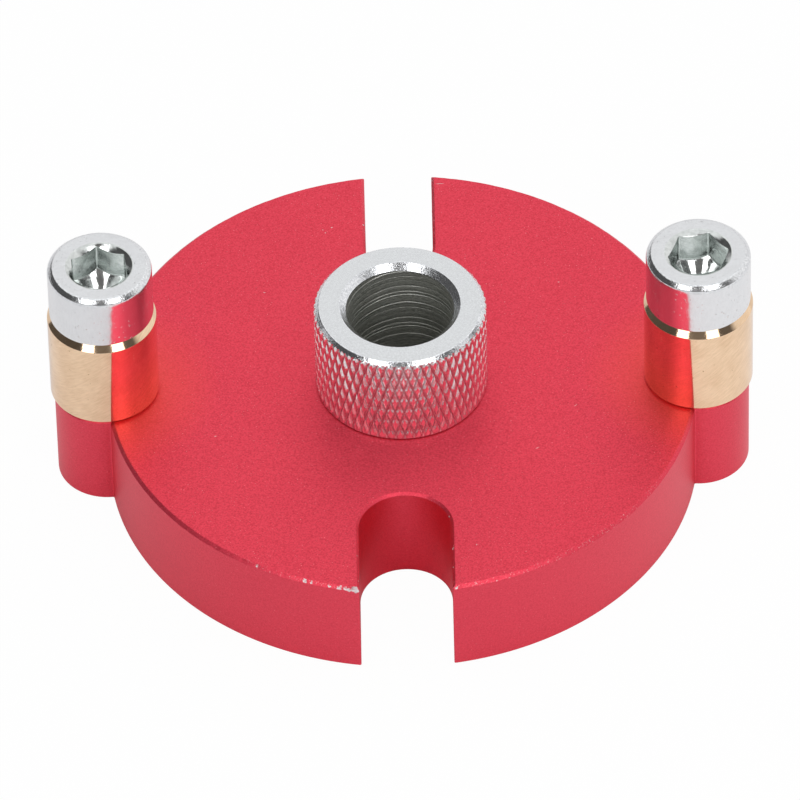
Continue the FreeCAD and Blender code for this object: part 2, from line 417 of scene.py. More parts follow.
def plate_outline(rim_inset, slot_inset):
    """The plate's outline, anticlockwise from the near slot's inner end, its edges moved in."""
    rim = PLATE_RADIUS - rim_inset
    ear = EAR_RADIUS - rim_inset
    near, near_bearing = slot_side(NEAR_SLOT, rim, -1, slot_inset)
    far, far_bearing = slot_side(FAR_SLOT, rim, 1, slot_inset)
    ease = EAR_CORNER
    fillet_x = (POST_OFFSET ** 2 + (rim + ease) ** 2 - (ear + ease) ** 2) / (2 * POST_OFFSET)
    fillet_y = math.sqrt((rim + ease) ** 2 - fillet_x ** 2)
    disc_bearing = bearing((fillet_x, fillet_y))
    ear_bearing = bearing((fillet_x - POST_OFFSET, fillet_y))
    fillet = arc((fillet_x, -fillet_y), ease, 180 - disc_bearing, 180 - ear_bearing, 6)
    lower_rim = arc((0, 0), rim, near_bearing, -disc_bearing, RIM_POINTS)[1:-1]
    ear_arc = arc((POST_OFFSET, 0), ear, -ear_bearing, ear_bearing, EAR_POINTS)[1:-1]
    upper_rim = arc((0, 0), rim, disc_bearing, far_bearing, FAR_RIM_POINTS)[1:-1]
    right = np.concatenate([
        near, lower_rim, fillet, ear_arc, fillet[::-1] * (1, -1), upper_rim, far[::-1],
    ])
    left = right[1:-1][::-1] * (-1, 1)
    return np.concatenate([right, left])


def inset_levels(top_chamfer, bottom_chamfer):
    """Profile of an edge as (inset, height), from inside the bottom face to inside the top one."""
    wall_top = PLATE_TOP - PLATE_TOP_CHAMFER
    return np.array(eased([
        (bottom_chamfer + 1, PLATE_BOTTOM),
        (bottom_chamfer, PLATE_BOTTOM),
        (0, PLATE_BOTTOM + bottom_chamfer),
        *((0, wall_top - depth) for depth in EDGE_STEPS[::-1]),
        (0, PLATE_TOP - top_chamfer),
        (top_chamfer, PLATE_TOP),
        *((top_chamfer + depth, PLATE_TOP) for depth in EDGE_STEPS),
        (top_chamfer + 1.2, PLATE_TOP),
    ])[1:])


def ripple(along, seed):
    """A smooth uneven wave from -1 to 1."""
    return sum(
        math.sin(seed * part + 1.3 * part) * np.sin(along * pitch + seed * (part + 2))
        for part, pitch in ((1, 1.7), (2, 4.3), (3, 9.1), (4, 17.0))
    ) / 2


def chipped(ring, inward, on_edge):
    """The ring with its chips and the small waves of a hand-broken edge, and its wear. The edge is
    worn most along the front of the rim, where the extra bare specks are partly a painted
    highlight."""
    moved = ring.copy()
    x, y, z = ring.T
    front = np.clip((0.25 * x - y - 17) / 4, 0, 1) * (np.hypot(x, y) > PLATE_RADIUS - 1)
    # The extra wear along the rim's front is partly a painted highlight along the edge.
    wear = (EDGE_WEAR + (FRONT_WEAR_AND_HIGHLIGHT - EDGE_WEAR) * front) * on_edge
    depth = EDGE_WAVE * ripple(np.arange(len(ring)) * 0.11, 1.0) * on_edge
    broken = np.sin(9 * x + 5 * z) * np.sin(8 * y - 4 * z + 1)
    broken = broken + 0.5 * np.sin(19 * x - 17 * y + 11 * z)
    for chip_x, chip_y, reach, deep in CHIPS:
        distance = np.sqrt((x - chip_x) ** 2 + (y - chip_y) ** 2 + (z - PLATE_TOP + 0.12) ** 2)
        bite = np.clip(1 - distance / reach + 0.22 * broken * (distance < 1.3 * reach), 0, 1)
        depth += deep * np.minimum(bite * 1.6, 1)
        wear = np.maximum(wear, np.clip(bite * 5, 0, 1) * CHIP_WEAR)
    moved[:, :2] += inward * depth[:, None] * 0.7
    moved[:, 2] -= np.maximum(depth, 0) * 0.7
    return moved, wear


def edge_places():
    """Every ring of the plate's edge, from the bottom face to the top one, as its inset at the
    rim, its inset at the slots and its height."""
    rim = inset_levels(PLATE_TOP_CHAMFER, PLATE_BOTTOM_CHAMFER)
    slot = inset_levels(SLOT_CHAMFER, PLATE_BOTTOM_CHAMFER)
    on_bottom = rim[:, 1] < PLATE_BOTTOM + 1e-6
    on_top = rim[:, 1] > PLATE_TOP - 1e-6
    last_low, first_high = np.flatnonzero(on_bottom)[-1], np.flatnonzero(on_top)[0]
    wall = slice(last_low, first_high + 1)
    between = np.concatenate([rim[~on_bottom & ~on_top, 1], slot[~on_bottom & ~on_top, 1]])
    places = [(*pair, PLATE_BOTTOM) for pair in zip(rim[on_bottom, 0], slot[on_bottom, 0])]
    for height in np.unique(np.round(between, 3)):
        places.append((
            np.interp(height, rim[wall, 1], rim[wall, 0]),
            np.interp(height, slot[wall, 1], slot[wall, 0]),
            height,
        ))
    places += [(*pair, PLATE_TOP) for pair in zip(rim[on_top, 0], slot[on_top, 0])]
    return places


def make_plate(materials):
    shell = Shell()
    inward = plate_outline(0.02, 0.02) - plate_outline(0, 0)
    inward /= np.linalg.norm(inward, axis=1)[:, None]
    places = edge_places()
    wall_top = PLATE_TOP - PLATE_TOP_CHAMFER
    rings = []
    for order, (rim_inset, slot_inset, height) in enumerate(places):
        outline = plate_outline(rim_inset, slot_inset)
        ring = np.column_stack([outline, np.full(len(outline), height)])
        if height > wall_top - EDGE_STEPS[-2] - 0.01 and order < len(places) - 1:
            on_edge = height > wall_top - 0.02 and rim_inset < PLATE_TOP_CHAMFER + 0.1
            rings.append(shell.ring(*chipped(ring, inward, on_edge)))
        else:
            rings.append(shell.ring(ring))
    ends = [shell.strip(rings), make_bush_hole(shell)]
    ends += [make_post_hole(shell, side * POST_OFFSET) for side in (-1, 1)]
    bottoms, tops = zip(*ends)
    shell.flat(tops)
    shell.flat(bottoms)
    shell.build("plate", "jig_body", "jig_plate", materials)


def make_bush_hole(shell):
    """The threaded hole for the drill bush. Returns its bottom and top ring."""
    shell.lathe(BUSH_COLUMNS)
    mouth = BUSH_HOLE_RADIUS + HOLE_CHAMFER
    lower = shell.turned([(mouth + HOLE_LIP, PLATE_BOTTOM), (mouth, PLATE_BOTTOM)])
    heights = thread_heights(PLATE_BOTTOM + HOLE_CHAMFER, STEM_RELIEF_BOTTOM, THREAD_ROWS)
    crest = BUSH_HOLE_RADIUS + BUSH_THREAD_DEPTH
    thread = shell.threaded(BUSH_HOLE_RADIUS, crest, heights)
    upper = shell.turned(eased([
        (BUSH_HOLE_RADIUS, PLATE_TOP - HOLE_CHAMFER - 0.3),
        (BUSH_HOLE_RADIUS, PLATE_TOP - HOLE_CHAMFER),
        (mouth, PLATE_TOP),
        (mouth + 0.3, PLATE_TOP),
    ])[:-1])
    shell.band(lower[1], thread[0])
    shell.band(thread[1], upper[0])
    return lower[0], upper[1]


def make_post_hole(shell, centre_x):
    """A tapped hole in an ear. Returns its bottom and top ring."""
    shell.lathe(POST_HOLE_COLUMNS, centre_x)
    root = SHANK_ROOT + POST_HOLE_GAP
    crest = SHANK_RADIUS + POST_HOLE_GAP
    start = PLATE_BOTTOM + HOLE_CHAMFER
    end = PLATE_TOP - HOLE_CHAMFER
    heights = thread_heights(start, end, HIDDEN_THREAD_ROWS)
    share = thread_share(POST_HOLE_COLUMNS, heights, SCREW_TIP, HEAD_BOTTOM)
    runout = np.clip(np.minimum(heights - start, end - heights) / POST_HOLE_FADE, 0, 1)
    share = 1 - (1 - share) * runout[:, None]
    lip = crest + HOLE_LIP
    radii = [lip, crest, *(root + (crest - root) * share), crest, lip]
    heights = [PLATE_BOTTOM, PLATE_BOTTOM, *heights, PLATE_TOP, PLATE_TOP]
    return shell.strip(shell.rings(radii, heights))


# ---- drill bush

def knurl_share(turns, heights):
    """Height of the diamond knurl above its grooves, from 0 to 1, at each height and column, and
    how far each place is from its groove, where 1 is the top of the groove's wall."""
    around = (turns - KNURL_PEAK_TURN)[None, :] * KNURL_STARTS / 360
    along = (heights - KNURL_PEAK_HEIGHT)[:, None] / KNURL_AXIAL_PERIOD
    reaches, falls = [], []
    grooves = ((around + along + 0.5, 2.4, 0.0), (around - along + 0.5, 1.7, 0.8))
    for groove, step, shift in grooves:
        reach = np.minimum(groove % 1, 1 - groove % 1) / KNURL_WALL
        uneven = np.sin(step * np.round(groove % KNURL_STARTS) + shift)
        reaches.append(reach)
        falls.append(np.clip(1 - reach, 0, 1) * (1 + KNURL_DEPTH_SPREAD * uneven))
    share = 1 - sum(fall ** KNURL_ROUNDING for fall in falls) ** (1 / KNURL_ROUNDING)
    return share, np.minimum(*reaches)


def knurl_falls(turns, heights):
    """For each row of quads, which of them has its groove running down towards +X."""
    half_turn = 180 / KNURL_STARTS
    half_rise = KNURL_AXIAL_PERIOD / 2
    column_middle = turns + half_turn / KNURL_STEPS / 2
    row_middle = (heights[:-1] + heights[1:]) / 2
    column_cell = np.floor((column_middle - KNURL_PEAK_TURN) / half_turn + 1e-6).astype(int)
    row_cell = np.floor((row_middle - KNURL_PEAK_HEIGHT) / half_rise + 1e-6).astype(int)
    return (column_cell[None, :] + row_cell[:, None]) % 2 == 0


def make_bush(materials):
    """The collar with its knurl, the stem with its thread, and the bore."""
    shell = Shell(2 * KNURL_STARTS * KNURL_STEPS)
    turns = KNURL_PEAK_TURN + np.arange(shell.columns) * 360 / shell.columns
    step = KNURL_AXIAL_PERIOD / 2 / KNURL_STEPS
    chamfer_start = BUSH_TOP - COLLAR_TOP_CHAMFER_HEIGHT
    below = math.floor((KNURL_PEAK_HEIGHT - BUSH_SEAT) / step)
    above = math.floor((chamfer_start - KNURL_PEAK_HEIGHT) / step)
    lattice = KNURL_PEAK_HEIGHT + step * np.arange(-below, above + 1)
    chamfer_rows = np.linspace(chamfer_start, BUSH_TOP - 0.03, COLLAR_CHAMFER_ROWS)
    foot_rows = np.linspace(BUSH_SEAT, BUSH_SEAT + COLLAR_BOTTOM_CHAMFER, COLLAR_FOOT_ROWS)
    heights = np.unique(np.round(np.concatenate([foot_rows, lattice, chamfer_rows]), 4))
    share, reach = knurl_share(turns, heights)
    fade = np.clip((KNURL_END - heights) / KNURL_FADE, 0, 1)
    foot = np.clip((heights - BUSH_SEAT) / KNURL_FOOT, 0, 1)
    fade *= KNURL_FOOT_DEPTH + (1 - KNURL_FOOT_DEPTH) * foot
    radii = BUSH_RADIUS - KNURL_DEPTH * fade[:, None] * (1 - share)
    up_chamfer = (heights - chamfer_start) / COLLAR_TOP_CHAMFER_HEIGHT
    top_cone = BUSH_RADIUS - COLLAR_TOP_CHAMFER * up_chamfer
    bottom_cone = BUSH_RADIUS - COLLAR_BOTTOM_CHAMFER + (heights - BUSH_SEAT)
    radii = np.minimum(radii, np.minimum(top_cone, bottom_cone)[:, None])
    falls = knurl_falls(turns, heights)
    rings = shell.rings(radii, heights, KNURL_PEAK_TURN, reach)
    for row in range(len(rings) - 1):
        mark = KNURL if heights[row + 1] <= chamfer_start + 0.10 else BEVEL
        shell.band(rings[row], rings[row + 1], mark, falls[row])
    top_inner = BUSH_RADIUS - COLLAR_TOP_CHAMFER
    lip_radii = (top_inner - 0.01, top_inner - 0.03, top_inner - 0.08)
    lip = shell.rings(lip_radii, (BUSH_TOP - 0.006, BUSH_TOP, BUSH_TOP), KNURL_PEAK_TURN)
    shell.strip([rings[-1]] + lip, BEVEL)
    shell.lathe(BUSH_COLUMNS)
    bore_mouth = BORE_RADIUS + BORE_CHAMFER
    bore_seam = BUSH_TOP - BORE_SEAM_DEPTH
    chamfer_ends = shell.turned(eased([
        (bore_mouth + 0.3, BUSH_TOP),
        (bore_mouth, BUSH_TOP),
        (BORE_RADIUS, BUSH_TOP - BORE_CHAMFER_HEIGHT),
        (BORE_RADIUS, bore_seam),
    ], support=0.04)[1:-1], BEVEL)
    shell.flat([lip[-1], chamfer_ends[0]], TURNED)
    bore = shell.turned(eased([
        (BORE_RADIUS, bore_seam),
        (BORE_RADIUS, BUSH_BOTTOM + BORE_CHAMFER),
        (bore_mouth, BUSH_BOTTOM),
        (bore_mouth + 0.5, BUSH_BOTTOM),
    ], support=0.04)[:-1], BORE)
    shell.band(chamfer_ends[1], bore[0], BORE)
    stem_root = STEM_RADIUS - BUSH_THREAD_DEPTH
    stem_tip = shell.thread_tip(stem_root, BUSH_BOTTOM, TURNED)
    shell.flat([bore[1], stem_tip[0]], TURNED)
    thread_rows = thread_heights(BUSH_BOTTOM + THREAD_START, STEM_RELIEF_BOTTOM, THREAD_ROWS)
    thread = shell.threaded(stem_root, STEM_RADIUS, thread_rows, TURNED)
    shell.band(stem_tip[1], thread[0], TURNED)
    neck = shell.turned([
        (stem_root, STEM_RELIEF_BOTTOM + 0.05),
        (stem_root, BUSH_SEAT - 0.05),
        (stem_root + 0.05, BUSH_SEAT),
        (stem_root + 0.1, BUSH_SEAT),
    ], TURNED)
    shell.band(thread[1], neck[0], TURNED)
    shell.flat([rings[0], neck[1]], TURNED)
    shell.build("bush", "drill_bush", "drill_bush", materials)


# ---- post screws

def hexagon_radius(turn):
    """Distance from the axis to a hexagon socket's walls at each of a screw's columns, its corners
    rounded. The turn is the bearing of a corner from +X."""
    half_side, side = math.radians(30), math.radians(60)
    angle = np.arange(SCREW_COLUMNS) * 360 / SCREW_COLUMNS - 90
    from_corner = np.radians(np.abs((angle - turn + 30) % 60 - 30))
    walls = SOCKET_FLAT / np.cos(half_side - from_corner)
    corner = SOCKET_FLAT / math.cos(half_side)
    rounding = SOCKET_CORNER_ROUNDING
    centre = corner - rounding / math.sin(side)
    tangent = corner / 2 - rounding / math.tan(side)
    limit = half_side - math.atan2(tangent, SOCKET_FLAT)
    under_root = np.clip(rounding ** 2 - (centre * np.sin(from_corner)) ** 2, 0, None)
    rounded = centre * np.cos(from_corner) + np.sqrt(under_root)
    return np.where(from_corner < limit, rounded, walls)


def make_screw(side, centre_x, materials):
    """A cap screw: threaded shank, neck, head with a bevelled top, and a hexagon socket."""
    shell = Shell(SCREW_COLUMNS, centre_x)
    tip = shell.thread_tip(SHANK_ROOT, SCREW_TIP)
    shell.point(tip[0], SCREW_TIP)
    thread_end = HEAD_BOTTOM - SHANK_NECK
    heights = np.linspace(SCREW_TIP + THREAD_START, thread_end, SCREW_THREAD_RINGS)
    thread = shell.threaded(SHANK_ROOT, SHANK_RADIUS, heights)
    shell.band(tip[1], thread[0])
    head = shell.turned(eased([
        (SHANK_ROOT, thread_end + 0.02),
        (SHANK_RADIUS, thread_end + SHANK_RADIUS - SHANK_ROOT),
        (SHANK_RADIUS, HEAD_BOTTOM),
        (HEAD_RADIUS - HEAD_BOTTOM_BEVEL, HEAD_BOTTOM),
        (HEAD_RADIUS, HEAD_BOTTOM + HEAD_BOTTOM_BEVEL),
        (HEAD_RADIUS, SCREW_TOP - HEAD_SHOULDER[0][1] - 0.1),
    ], radius=0.09, support=0.04))
    shell.band(thread[1], head[0])
    shoulder = shell.turned([
        (HEAD_RADIUS - inset, SCREW_TOP - depth) for inset, depth in HEAD_SHOULDER
    ], SHOULDER)
    shell.band(head[1], shoulder[0])
    face = shell.turned([
        (HEAD_RADIUS - HEAD_SHOULDER[-1][0] - 0.1, SCREW_TOP),
        (SOCKET_MOUTH_RADIUS + 0.1, SCREW_TOP),
    ])
    shell.band(shoulder[1], face[0])
    make_socket(shell, face[1], side)
    shell.build(side + "_screw", "jig_body", side + "_post_screw", materials)


def make_socket(shell, last, side):
    """The countersunk mouth, hexagon walls and conical floor, from the last ring of the head's
    face to the axis."""
    walls = hexagon_radius(SOCKET_TURNS[side])
    mouth_slope = math.tan(math.radians(SOCKET_MOUTH_HALF_ANGLE[side]))
    floor_slope = math.tan(math.radians(SOCKET_FLOOR_HALF_ANGLE))
    nose_slope = math.tan(math.radians(SOCKET_NOSE_HALF_ANGLE))
    corner = SOCKET_FLAT / math.cos(math.radians(30))
    floor_tip = SCREW_TOP - SOCKET_DEPTH - corner / floor_slope
    nose_tip = floor_tip + (SOCKET_NOSE_RADIUS / floor_slope - SOCKET_NOSE_RADIUS / nose_slope)
    lip_height = SCREW_TOP - (SOCKET_MOUTH_RADIUS - walls) / mouth_slope
    floor_height = floor_tip + walls / floor_slope
    mouth = [
        (SOCKET_MOUTH_RADIUS + 0.03, SCREW_TOP),
        (SOCKET_MOUTH_RADIUS, SCREW_TOP - 0.008),
        (SOCKET_MOUTH_RADIUS - 0.04, SCREW_TOP - 0.04),
        (walls + 0.03, lip_height + 0.025),
        (walls, lip_height - 0.01),
    ]
    down = floor_height - lip_height
    heights = (lip_height + down * share for share in np.linspace(0.1, 0.9, 6))
    sides = [(walls, height) for height in (lip_height - 0.06, *heights, floor_height + 0.07)]
    floor = [(walls - 0.02, floor_height + 0.01), (walls - 0.08, floor_height - 0.04)]
    turn = np.arange(SCREW_COLUMNS) * 2 * math.pi / SCREW_COLUMNS
    flutes = 0.5 * np.sin(7 * turn + len(side)) + 0.3 * np.sin(12 * turn + 1.0)
    flutes = flutes + 0.2 * np.sin(19 * turn)
    for share in (0.2, 0.4, 0.6, 0.8, 1.0):
        radius = walls + (SOCKET_NOSE_RADIUS - walls) * share
        uneven = SOCKET_FLUTE * flutes * math.sin(math.pi * share)
        floor.append((radius, floor_tip + radius / floor_slope + uneven))
    floor += [(radius, nose_tip + radius / nose_slope) for radius in SOCKET_NOSE_RINGS]
    for levels, mark in ((mouth, SOCKET), (sides, HEXAGON), (floor, SOCKET)):
        last = shell.strip([last] + shell.rings(*zip(*levels)), mark)[1]
    shell.point(last, nose_tip, SOCKET)


# ---- guide sleeves

def make_sleeve(side, centre_x, materials):
    """A turned roller, its outline closed on itself round the bore."""
    shell = Shell(SLEEVE_COLUMNS, centre_x)
    ends = shell.turned(eased([
        (SLEEVE_BORE, SLEEVE_SEAM[0]),
        (SLEEVE_BORE, SLEEVE_BOTTOM + SLEEVE_BORE_CHAMFER),
        (SLEEVE_BORE + SLEEVE_BORE_CHAMFER, SLEEVE_BOTTOM),
        (SLEEVE_RADIUS - SLEEVE_BOTTOM_CHAMFER, SLEEVE_BOTTOM),
        (SLEEVE_RADIUS, SLEEVE_BOTTOM + SLEEVE_BOTTOM_CHAMFER),
        (SLEEVE_RADIUS, SLEEVE_TOP - SLEEVE_TOP_CHAMFER_HEIGHT),
        (SLEEVE_RADIUS - SLEEVE_TOP_CHAMFER, SLEEVE_TOP),
        (SLEEVE_BORE + SLEEVE_BORE_CHAMFER, SLEEVE_TOP),
        (SLEEVE_BORE, SLEEVE_TOP - SLEEVE_BORE_CHAMFER),
        (SLEEVE_BORE, SLEEVE_SEAM[1]),
    ], radius=0.05, support=0.04))
    shell.band(ends[1], ends[0])
    node = side + "_guide_sleeve"
    shell.build(side + "_sleeve", node, node, materials)


# ---- materials

class Nodes:
    """A node tree, with short names for what the finishes and the studio use."""

    def __init__(self, tree):
        self.tree = tree

    def node(self, kind, inputs=None, **settings):
        made = self.tree.nodes.new("ShaderNode" + kind)
        for name, value in settings.items():
            setattr(made, name, value)
        for name, value in (inputs or {}).items():
            self.feed(made.inputs[name], value)
        return made

    def feed(self, socket, value):
        if isinstance(value, bpy.types.NodeSocket):
            self.tree.links.new(value, socket)
        else:
            socket.default_value = (*value, 1.0) if socket.type == "RGBA" else value

    def math(self, operation, *values):
        inputs = dict(enumerate(values))
        return self.node("Math", inputs, operation=operation).outputs[0]

    def times(self, first, second):
        return self.math("MULTIPLY", first, second)

    def mean(self, first, share, second):
        """The mean of two values, of which the first has the given share."""
        return self.math("MULTIPLY_ADD", first, share, self.times(second, 1 - share))

    def distance(self, along, across):
        squares = self.math("ADD", self.times(along, along), self.times(across, across))
        return self.math("SQRT", squares)

    def parts(self, vector):
        """A vector's X, Y and Z."""
        return self.node("SeparateXYZ", {"Vector": vector}).outputs

    def ramp(self, value, low, high, to_low=0.0, to_high=1.0, **settings):
        """The value taken from one range to another, and held at its ends."""
        return self.node("MapRange", {
            "Value": value, "From Min": low, "From Max": high, "To Min": to_low, "To Max": to_high,
        }, **settings).outputs[0]

    def greys(self, value, stops):
        """The grey at a value from 0 to 1, between stops of (place, brightness)."""
        scale = self.node("ValToRGB", {"Fac": value})
        elements = scale.color_ramp.elements
        while len(elements) < len(stops):
            elements.new(0.5)
        for element, (place, grey) in zip(elements, stops):
            element.position = place
            element.color = (grey, grey, grey, 1.0)
        return scale.outputs["Color"]

    def blend(self, share, first, second):
        mix = self.node("Mix", data_type="RGBA")
        self.feed(mix.inputs[0], share)
        self.feed(mix.inputs[6], first)
        self.feed(mix.inputs[7], second)
        return mix.outputs[2]


class Paint(Nodes):
    """A material, with what its finish is made from."""

    def __init__(self, name):
        self.material = bpy.data.materials.new(name)
        self.material.use_nodes = True
        super().__init__(self.material.node_tree)
        self.shader = self.tree.nodes["Principled BSDF"]
        self.coordinates = self.node("TexCoord").outputs["Object"]

    def wear(self):
        return self.node("Attribute", attribute_name="edge_wear").outputs["Fac"]

    def noise(self, size, detail=2.0, stretch=(1, 1, 1), rough=0.5, shift=0.0, over=None):
        """Noise with features of about the given size in millimetres."""
        mapping = self.node("Mapping", {
            "Vector": over or self.coordinates, "Scale": stretch, "Location": (shift,) * 3,
        })
        return self.node("TexNoise", {
            "Vector": mapping.outputs[0], "Scale": 1 / (size * MM),
            "Detail": detail, "Roughness": rough,
        }).outputs["Fac"]

    def noise_along(self, value, scale, detail, rough):
        """Noise that changes along one value alone."""
        return self.node("TexNoise", {
            "W": value, "Scale": scale, "Detail": detail, "Roughness": rough,
        }, noise_dimensions="1D").outputs["Fac"]

    def bumps(self, *layers):
        """The normal after layers of (height, strength, depth in millimetres)."""
        normal = {}
        for height, strength, depth in layers:
            inputs = {"Height": height, "Strength": strength, "Distance": depth * MM, **normal}
            normal = {"Normal": self.node("Bump", inputs).outputs[0]}
        return normal["Normal"]

    def finish(self, **sockets):
        for name, value in sockets.items():
            self.feed(self.shader.inputs[name.replace("_", " ")], value)
        return self.material

    def metal(self, colour, rough, normal, share=1.0):
        return self.finish(Base_Color=colour, Metallic=share, Roughness=rough, Normal=normal)


# The share and the reach of the warm light beside a sleeve, from its axis, in millimetres
GLOW_SHARE = 0.45
GLOW_REACH = (5.0, 11.0)

# Nicks and scratches in the plate's top: place, half length, half width, and turn in degrees
NICKS = (
    (4.0, 26.25, 0.45, 0.035, 2), (-6.35, 20.6, 0.10, 0.07, 30), (-7.2, 20.3, 0.07, 0.05, 0),
    (-6.95, 19.9, 0.07, 0.06, 0), (12.5, -9.5, 0.25, 0.03, 35),
    (16.2, -4.0, 0.22, 0.025, 40), (-17.5, -7.0, 0.12, 0.05, 10), (6.6, -21.9, 0.10, 0.05, 70),
    (-12.8, 12.0, 0.14, 0.04, -20), (15.0, 12.5, 0.10, 0.05, 0),
)


def red_anodised():
    """Bead-blasted aluminium under a clear red oxide layer, bare where an edge is chipped."""
    paint = Paint("red_anodised")
    grain = paint.noise(0.17, 2.0)
    pits = paint.noise(0.16, 2.0, shift=0.7)
    # Painted highlights: sparse pale pink glints in the grain, weaker on the walls than on the
    # top.
    painted_glints = paint.ramp(paint.noise(0.13, 1.0, shift=0.3), 0.69, 0.80)
    cloud = paint.noise(6.0, 3.0)
    base = paint.blend(cloud, (0.865, 0.055, 0.102), (0.925, 0.066, 0.112))
    parts = paint.parts(paint.coordinates)
    on_top = paint.ramp(parts[2], (PLATE_TOP - 0.3) * MM, PLATE_TOP * MM)
    pits = paint.ramp(pits, 0.25, 0.60, 0.62, 0.0)
    pits = paint.times(pits, paint.ramp(on_top, 0.0, 1.0, 0.6, 1.0))
    painted_glints = paint.times(painted_glints, paint.ramp(on_top, 0.0, 1.0, 0.3, 0.85))
    # Painted shade: the walls below the top face are drawn part of the way towards a deeper red.
    base = paint.blend(paint.ramp(on_top, 0.0, 1.0, 0.18, 0.0), base, (0.60, 0.060, 0.100))
    base = paint.blend(pits, base, (0.60, 0.010, 0.030))
    base = paint.blend(painted_glints, base, (1.0, 0.42, 0.46))
    base = paint.blend(brass_glow(paint, parts, on_top), base, (1.0, 0.10, 0.06))
    edge = paint.wear()
    chips = paint.math("MULTIPLY_ADD", paint.noise(0.18, 3.0, rough=0.65), 0.9, edge)
    nicks = None
    for x, y, half_length, half_width, turn in NICKS:
        place = paint.node("Mapping", {
            "Vector": paint.coordinates, "Location": (x * MM, y * MM, PLATE_TOP * MM),
            "Rotation": (0.0, 0.0, math.radians(turn)),
            "Scale": (half_length * MM, half_width * MM, 0.2 * MM),
        }, vector_type="TEXTURE").outputs[0]
        away = paint.node("VectorMath", {0: place}, operation="LENGTH").outputs["Value"]
        nick = paint.ramp(away, 0.6, 1.1, 1.0, 0.0)
        nicks = nick if nicks is None else paint.math("MAXIMUM", nicks, nick)
    bare = paint.math("MAXIMUM", paint.ramp(chips, 0.85, 1.10), paint.times(nicks, 0.7))
    metal_tone = paint.noise(0.12, 2.0, shift=0.5)
    metal_tone = paint.blend(metal_tone, (1.0, 0.94, 0.94), (0.62, 0.52, 0.53))
    colour = paint.blend(bare, base, metal_tone)
    metal = paint.ramp(bare, 0.0, 1.0, 1.0, 0.25)
    strength = paint.math("MULTIPLY_ADD", edge, 0.9, 0.5)
    normal = paint.bumps((grain, strength, 0.03))
    return paint.finish(
        Base_Color=colour, Metallic=metal, Roughness=0.50, Normal=normal,
        Coat_Weight=0.45, Coat_Roughness=0.50, Coat_IOR=1.5,
    )


def brass_glow(paint, parts, on_top):
    """How much warm light a sleeve throws on the plate's top beside it."""
    inward = paint.math("SUBTRACT", POST_OFFSET * MM, paint.math("ABSOLUTE", parts[0]))
    start, end = GLOW_REACH
    near = paint.ramp(paint.distance(inward, parts[1]), start * MM, end * MM, GLOW_SHARE, 0.0)
    return paint.times(near, on_top)


def steel(name, base, dark, roughness, grain_size, grain_depth, stretch=(1, 1, 1), strength=0.4,
          wave_depth=0.0, darker_face_height=None):
    """Bright plated steel with a fine grain, and where asked a surface a little out of true or a
    face at one height drawn darker."""
    paint = Paint(name)
    grain = paint.noise(grain_size, 3.0, stretch)
    speck = paint.noise(grain_size, 1.0, stretch, shift=0.4)
    cloud = paint.noise(2.5, 3.0)
    tone = paint.mean(speck, 0.7, cloud)
    colour = paint.blend(paint.ramp(tone, 0.35, 0.65), base, dark)
    if darker_face_height:
        # Where asked, the face at that height is drawn darker, up to 16 percent towards a deeper
        # grey.
        height = paint.parts(paint.coordinates)[2]
        on_top = paint.ramp(height, (darker_face_height - 0.04) * MM, darker_face_height * MM, 0.0, 0.16)
        colour = paint.blend(on_top, colour, (0.45, 0.46, 0.49))
    rough = paint.ramp(grain, 0.3, 0.7, roughness * 0.8, roughness * 1.25)
    layers = [(grain, strength, grain_depth)]
    if wave_depth:
        waves = paint.noise(1.6, 2.0, shift=0.2)
        dents = paint.ramp(paint.noise(0.30, 1.0, shift=0.15), 0.70, 0.78)
        layers = [(waves, 1.0, wave_depth), (dents, 1.0, 0.03)] + layers
    return paint.metal(colour, rough, paint.bumps(*layers))


def turned_steel(name, base, dark, roughness, ring_depth, pit_size, pit_depth):
    """Plated steel with the rings a lathe leaves round the axis, and small pits."""
    paint = Paint(name)
    x, y, z = paint.parts(paint.coordinates)
    across = paint.math("MULTIPLY_ADD", z, 2.0, paint.distance(x, y))
    pits = paint.noise(pit_size, 3.0, rough=0.6)
    wander = paint.math("MULTIPLY_ADD", paint.noise(3.0), 0.2, paint.math("DIVIDE", across, MM))
    rings = paint.noise_along(wander, 4.0, 2.0, 0.6)
    tone = paint.mean(pits, 0.9, rings)
    colour = paint.blend(paint.ramp(tone, 0.38, 0.62), dark, base)
    rough = paint.ramp(pits, 0.3, 0.7, roughness * 1.25, roughness * 0.8)
    normal = paint.bumps((rings, 1.0, ring_depth), (pits, 0.8, pit_depth))
    return paint.metal(colour, rough, normal)


def knurled_steel():
    """Plated steel raised into diamonds, with painted shade in the grooves, and a burr that
    catches the light along the diamonds' edges."""
    paint = Paint("zinc_knurl")
    grain = paint.noise(0.12, 3.0)
    tone = paint.ramp(paint.noise(0.12, 1.0, shift=0.4), 0.35, 0.65)
    colour = paint.blend(tone, (0.90, 0.90, 0.91), (0.75, 0.76, 0.77))
    reach = paint.wear()
    # Painted shade: the grooves are darkened, most at their bottom.
    colour = paint.blend(paint.ramp(reach, 0.05, 0.50, 0.45, 0.0), colour, (0.36, 0.34, 0.34))
    from_crest = paint.math("ABSOLUTE", paint.math("SUBTRACT", reach, 1.0))
    crest = paint.ramp(from_crest, 0.0, 0.45, 1.0, 0.0)
    burr = paint.times(paint.noise(0.14, 2.0, shift=0.8), crest)
    return paint.metal(colour, 0.22, paint.bumps((burr, 1.0, 0.06), (grain, 0.4, 0.012)))


# Marks in the bore: how far along one turn's climb each lies, and how light it is, which
# paints highlight and shade along the mark
BORE_MARKS = (
    (0.0, 0.50), (0.035, 0.95), (0.06, 0.30), (0.12, 0.52), (0.27, 0.46), (0.285, 0.90),
    (0.31, 0.28), (0.37, 0.50), (0.385, 1.00), (0.41, 0.30), (0.50, 0.52), (0.545, 0.42),
    (0.56, 0.85), (0.58, 0.34), (0.72, 0.50), (0.86, 0.45), (0.875, 0.72), (0.89, 0.38),
    (1.0, 0.50),
)
BORE_CLIMB = 0.65


